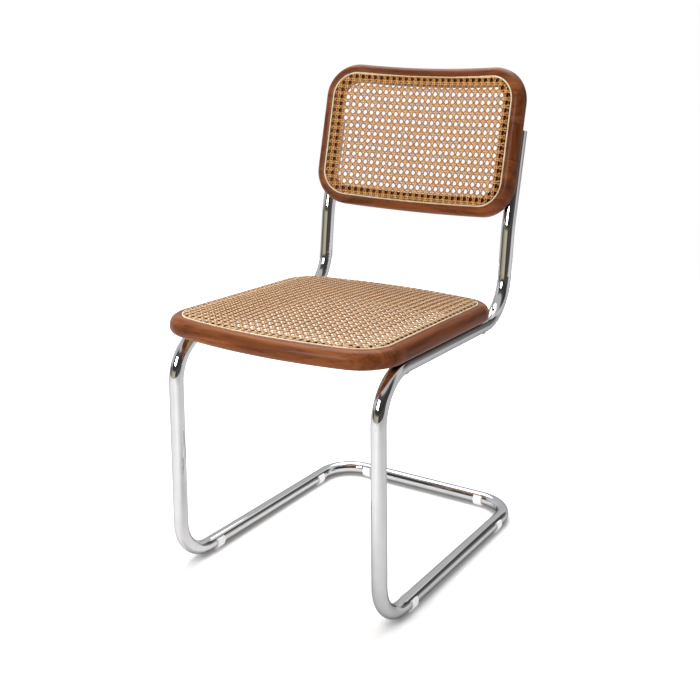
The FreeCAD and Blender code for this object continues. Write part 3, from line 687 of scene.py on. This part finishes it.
def back_section():
    """The section of the back frame: inset from the outer edge and lift off the front face."""
    rear = -BACK_THICK + BACK_REAR_ROUND
    return [
        *rounded(BACK_FRONT_ROUND, -BACK_FRONT_ROUND, BACK_FRONT_ROUND, 180, 90),
        (BACK_GROOVE_NEAR, 0), (BACK_GROOVE_NEAR, -BACK_GROOVE_DEEP),
        (BACK_GROOVE_FAR, -BACK_GROOVE_DEEP), (BACK_GROOVE_FAR, 0),
        *rounded(BACK_LEDGE - LEDGE_ROUND, -LEDGE_ROUND, LEDGE_ROUND, 90, 0),
        *rounded(BACK_LEDGE - BACK_REAR_ROUND, rear, BACK_REAR_ROUND, 0, -90),
        *rounded(BACK_REAR_ROUND, rear, BACK_REAR_ROUND, -90, -180),
    ]


def sweep(name, rows, section, material):
    """A closed bar with a section swept along rows of the back's outline, nicked at both ends."""
    section = np.array(section)
    centre = (section.min(axis=0) + section.max(axis=0)) / 2
    nicked = centre + (section - centre) * (1 - 2 * JOINT_NICK / BACK_THICK)
    verts = []
    for index, (u, v, across, along) in enumerate(rows):
        inset, lift = (nicked if index in (0, len(rows) - 1) else section).T
        verts.append(back_surface(u + across * inset, v + along * inset, lift))
    count = len(section)
    faces = [tuple(range(count)), tuple(range((len(rows) - 1) * count, len(rows) * count))[::-1]]
    for row in range(len(rows) - 1):
        for column in range(count):
            following = (column + 1) % count
            faces.append((
                row * count + column, (row + 1) * count + column,
                (row + 1) * count + following, row * count + following,
            ))
    mesh = bpy.data.meshes.new(name)
    mesh.from_pydata(np.concatenate(verts).tolist(), [], faces)
    mesh.update()
    mesh.shade_smooth()
    mesh.set_sharp_from_angle(angle=SHARP_ANGLE)
    mesh.materials.append(material)
    return placed(name, mesh)


def back_frame():
    """The four wooden pieces of the back, swept along the runs between their joints."""

    def joint(height):
        return (BACK_HALF, height, -1, 0)

    def mirrored(run):
        return [(-u, v, -across, along) for u, v, across, along in reversed(run)]

    rows = half_outline(back_shape, OUTLINE_STEP)
    low = [row for row in rows if row[1] < BACK_LOW_JOINT - JOINT_NICK]
    low += [joint(BACK_LOW_JOINT - JOINT_NICK), joint(BACK_LOW_JOINT)]
    high = [joint(BACK_HIGH_JOINT), joint(BACK_HIGH_JOINT + JOINT_NICK)]
    high += [row for row in rows if row[1] > BACK_HIGH_JOINT + JOINT_NICK]
    stile = [joint(BACK_LOW_JOINT), joint(BACK_LOW_JOINT + JOINT_NICK),
             joint(BACK_HIGH_JOINT - JOINT_NICK), joint(BACK_HIGH_JOINT)]
    section = back_section()
    across = wood_material("walnut_back_across", "x")
    upright = wood_material("walnut_back_upright", "z")
    for name, run, material in (
        ("back_rail_bottom", mirrored(low)[:-1] + low, across),
        ("back_rail_top", high[:-1] + mirrored(high), across),
        ("back_stile_right", stile, upright),
        ("back_stile_left", mirrored(stile), upright),
    ):
        piece = sweep(f"{name}_wood", run, section, material)
        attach(piece, "root")
        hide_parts(name)


random.seed(STRAND_SEED)
seat_origin = (SEAT_ORIGIN_X, seat_middle)
seat_panel = weave(
    "woven_seat", seat_shape, SEAT_CANE_INSET, seat_surface, seat_origin, SEAT_BUILD,
)
back_panel = weave(
    "woven_back", back_shape, BACK_CANE_INSET, back_surface, BACK_ORIGIN, BACK_BUILD,
)
# Painted light: the seat's cane is a lighter, lit copy of the back's
seat_panel.data.materials.append(cane_material("seat_cane_painted_lit", **SEAT_SKIN_PAINTED_LIT))
back_panel.data.materials.append(cane_material("back_cane_skin", **BACK_SKIN))
for panel, node in ((seat_panel, "seat_cane"), (back_panel, "back_cane")):
    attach(panel, "root")
    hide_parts(node)

dress(["frame_tube"], chrome_material())
dress(SEAT_RAILS_ACROSS, wood_material("walnut_across", "x"))
dress(SEAT_RAILS_DEEP, wood_material("walnut_deep", "y"))
back_frame()
dress(["seat_spline", "back_spline"], spline_material())
dress([name for name in nodes if name.startswith("glide")], glide_material())
dress(["tube_plug_left", "tube_plug_right"], plain_material("black_rubber", **RUBBER))
dress(["seat_screws", "back_screws"], plain_material("plated_steel", **PLATED))
dress(["seat_dowels", "back_dowels"], plain_material("beech_dowel", **BEECH))


# Studio. The two sides are level directions towards the viewer and to the right of the view.
NEAR_SIDE = (0.494, -0.870, 0.0)
RIGHT_SIDE = (0.870, 0.494, 0.0)

# Floor: pale paper. Where it is seen directly, it glows with the distance from the chair and has a
# painted contact shadow close under it, which also dims the glow there. Where the tube mirrors it,
# it is duller and has painted shade that changes from side to side.
FLOOR_REACH = 2.8
FLOOR_SIDES = 96
PAPER_CLOUD = {"scale": 3.0}
PAPER_TONES = ((0.3, grey(0.88)), (0.7, grey(0.90)))
PAPER_FINISH = {"Roughness": 0.8, "Specular IOR Level": 0.1}
CONTACT_REACH = 0.05
PAINTED_CONTACT_SHADOW = ((0.35, grey(0.42)), (0.79, grey(1.0)))
ASIDE_SPAN = {"low": 0.0, "high": 1.0, "start": -0.9, "end": 0.9}
# Painted shade on the paper as the chrome mirrors it, darker or lighter by how far it lies to the
# right
PAINTED_ASIDE_SHADE = (
    (0.10, grey(0.80)), (0.34, grey(1.0)), (0.50, grey(0.84)), (0.80, grey(0.64)),
)
FLOOR_GLOW = {"low": 0.36, "high": 0.8, "start": 0.6, "end": 2.0}
MIRRORED_GLOW = 0.10


def studio_paper():
    """The material of the floor."""
    material, tree, shader = new_material("studio_white")
    seen = add(tree, "ShaderNodeLightPath").outputs["Is Camera Ray"]
    paper = ramp(tree, noise(tree, **PAPER_CLOUD), PAPER_TONES)
    # Painted contact shadow: the paper darkens where the chair lies close above it
    painted_contact_shadow = ramp(tree, openness(tree, CONTACT_REACH), PAINTED_CONTACT_SHADOW)
    sideways = spread(tree, reach_along(tree, coordinates(tree), RIGHT_SIDE), **ASIDE_SPAN)
    # Painted shade for the chrome's reflections: the mirrored paper is darkened by its place from
    # side to side
    mirrored = multiplied(tree, paper, ramp(tree, sideways, PAINTED_ASIDE_SHADE))
    paper_under_painted_shadow = multiplied(tree, paper, painted_contact_shadow)
    distance = add(tree, "ShaderNodeVectorMath", operation="LENGTH")
    link(coordinates(tree), distance, 0)
    glow = spread(tree, distance.outputs["Value"], **FLOOR_GLOW)
    link(mix_colour(tree, seen, mirrored, paper_under_painted_shadow), shader, "Base Color")
    # The glow is darkened by the same painted contact shadow
    link(painted_contact_shadow, shader, "Emission Color")
    link(mix(tree, seen, MIRRORED_GLOW, glow, VALUE_SOCKETS), shader, "Emission Strength")
    give(shader, PAPER_FINISH)
    return material


floor_mesh = bpy.data.meshes.new("studio_floor")
angles = [math.tau * step / FLOOR_SIDES for step in range(FLOOR_SIDES)]
edge = [(FLOOR_REACH * math.cos(angle), FLOOR_REACH * math.sin(angle), 0) for angle in angles]
floor_mesh.from_pydata(edge, [], [tuple(range(FLOOR_SIDES))])
floor_mesh.materials.append(studio_paper())
studio_floor = placed("studio_floor", floor_mesh)

# Room, as the chrome mirrors it. The belt is a band at the horizon, and its places run once round
# from straight behind, left first. The places of a wall run from straight down to straight up.
ROOM_BELT = (
    (0.00, grey(0.80)), (0.12, grey(0.75)), (0.18, grey(0.65)), (0.21, grey(0.09)),
    (0.25, (0.09, 0.09, 0.08)), (0.28, (0.30, 0.28, 0.20)), (0.38, (0.60, 0.55, 0.40)),
    (0.46, (0.62, 0.57, 0.44)), (0.48, grey(0.04)), (0.55, (0.10, 0.08, 0.07)),
    (0.67, (0.08, 0.07, 0.06)), (0.70, (0.75, 0.75, 0.76)), (0.80, (0.55, 0.55, 0.56)),
    (0.84, grey(0.20)), (0.88, grey(0.65)), (1.00, grey(0.80)),
)
NEAR_WALL = (
    (0.55, (0.10, 0.10, 0.09)), (0.60, (0.045, 0.045, 0.04)), (0.76, (0.06, 0.06, 0.055)),
    (0.84, grey(0.10)), (0.88, grey(0.60)),
)
FAR_WALL = ((0.55, grey(0.80)), (0.88, grey(0.60)))
RIGHT_WALL = (
    (0.46, (0.20, 0.19, 0.19)), (0.63, (0.20, 0.19, 0.19)), (0.65, (0.08, 0.08, 0.07)),
    (0.765, (0.08, 0.08, 0.07)), (0.785, grey(0.90)),
)
GROUND = (*grey(0.85), 1)
BACKDROP = (*grey(1.0), 1)
ROOM_STRENGTH = 1.0

# Where one part of the room gives way to another: the near one by how much a direction points that
# way, the right one by its place in the belt, the others by its place in a wall
NEAR_SHARE = ((0.00, grey(0)), (0.25, grey(1)))
RIGHT_SHARE = ((0.78, grey(0)), (0.80, grey(1)), (0.87, grey(1)), (0.89, grey(0)))
WALL_SHARE = ((0.535, grey(0)), (0.57, grey(1)))
GROUND_SHARE = ((0.435, grey(1)), (0.45, grey(0)))


def studio_room():
    """A white backdrop behind the chair, and what the chrome mirrors: a dark studio with olive and
    pale patches at the horizon, under a dark ceiling, on the near side."""
    world = bpy.data.worlds.new("studio")
    bpy.context.scene.world = world
    world.use_nodes = True
    tree = world.node_tree
    background = tree.nodes["Background"]
    outlook = add(tree, "ShaderNodeTexCoord").outputs["Generated"]
    parts = add(tree, "ShaderNodeSeparateXYZ")
    link(outlook, parts, "Vector")
    rise = spread(tree, parts.outputs["Z"], 0.0, 1.0, -1.0, 1.0)
    rightward = reach_along(tree, outlook, RIGHT_SIDE)
    nearward = reach_along(tree, outlook, NEAR_SIDE)
    bearing = maths(tree, "ARCTAN2", rightward, nearward)
    turned = spread(tree, bearing, 0.0, 1.0, -math.pi, math.pi)
    near_share = ramp(tree, nearward, NEAR_SHARE)
    walls = mix_colour(tree, near_share, ramp(tree, rise, FAR_WALL), ramp(tree, rise, NEAR_WALL))
    right_share = ramp(tree, turned, RIGHT_SHARE)
    walls = mix_colour(tree, right_share, walls, ramp(tree, rise, RIGHT_WALL))
    wall_share = ramp(tree, rise, WALL_SHARE)
    upper = mix_colour(tree, wall_share, ramp(tree, turned, ROOM_BELT), walls)
    room = mix_colour(tree, ramp(tree, rise, GROUND_SHARE), upper, GROUND)
    seen = add(tree, "ShaderNodeLightPath").outputs["Is Camera Ray"]
    link(mix_colour(tree, seen, room, BACKDROP), background, "Color")
    give(background, {"Strength": ROOM_STRENGTH})


# Name, place, aim, size and power
LIGHTS = (
    ("key", (-0.5, -2.7, 1.65), (0, 0, 0.5), (1.3, 0.9), 46),
    ("top", (-0.5, 0.8, 2.7), (0, 0, 0.3), (2.2, 2.2), 75),
)


def soft_light(name, place, aim, size, power):
    """A rectangular soft light at a place, facing a point."""
    light = bpy.data.lights.new(name, "AREA")
    light.shape = "RECTANGLE"
    light.size, light.size_y = size
    light.energy = power
    lamp = placed(name, light)
    lamp.location = place
    lamp.rotation_euler = (Vector(aim) - Vector(place)).to_track_quat("-Z", "Y").to_euler()


studio_room()
for light_facts in LIGHTS:
    soft_light(*light_facts)

# Camera, as fitted to the photograph
CAMERA_PLACE = (0.9171, -1.4626, 0.8845)
CAMERA_YAW = math.radians(29.594)
CAMERA_PITCH = math.radians(-11.608)
CAMERA_ROLL = math.radians(1.193)
FOCAL = 50.97
SENSOR = 36.0
SHIFT = (-0.0668, -0.1173)

camera_data = bpy.data.cameras.new("camera")
camera_data.lens = FOCAL
camera_data.sensor_width = SENSOR
camera_data.shift_x, camera_data.shift_y = SHIFT
camera = placed("camera", camera_data)
forward = Vector((
    -math.sin(CAMERA_YAW) * math.cos(CAMERA_PITCH),
    math.cos(CAMERA_YAW) * math.cos(CAMERA_PITCH),
    math.sin(CAMERA_PITCH),
))
level = Vector((math.cos(CAMERA_YAW), math.sin(CAMERA_YAW), 0))
upward = level.cross(forward)
right = level * math.cos(CAMERA_ROLL) + upward * math.sin(CAMERA_ROLL)
above = upward * math.cos(CAMERA_ROLL) - level * math.sin(CAMERA_ROLL)
turn = Matrix((right, above, -forward)).transposed()
camera.matrix_world = Matrix.Translation(CAMERA_PLACE) @ turn.to_4x4()
bpy.context.scene.camera = camera
bpy.context.scene.view_settings.view_transform = "Standard"
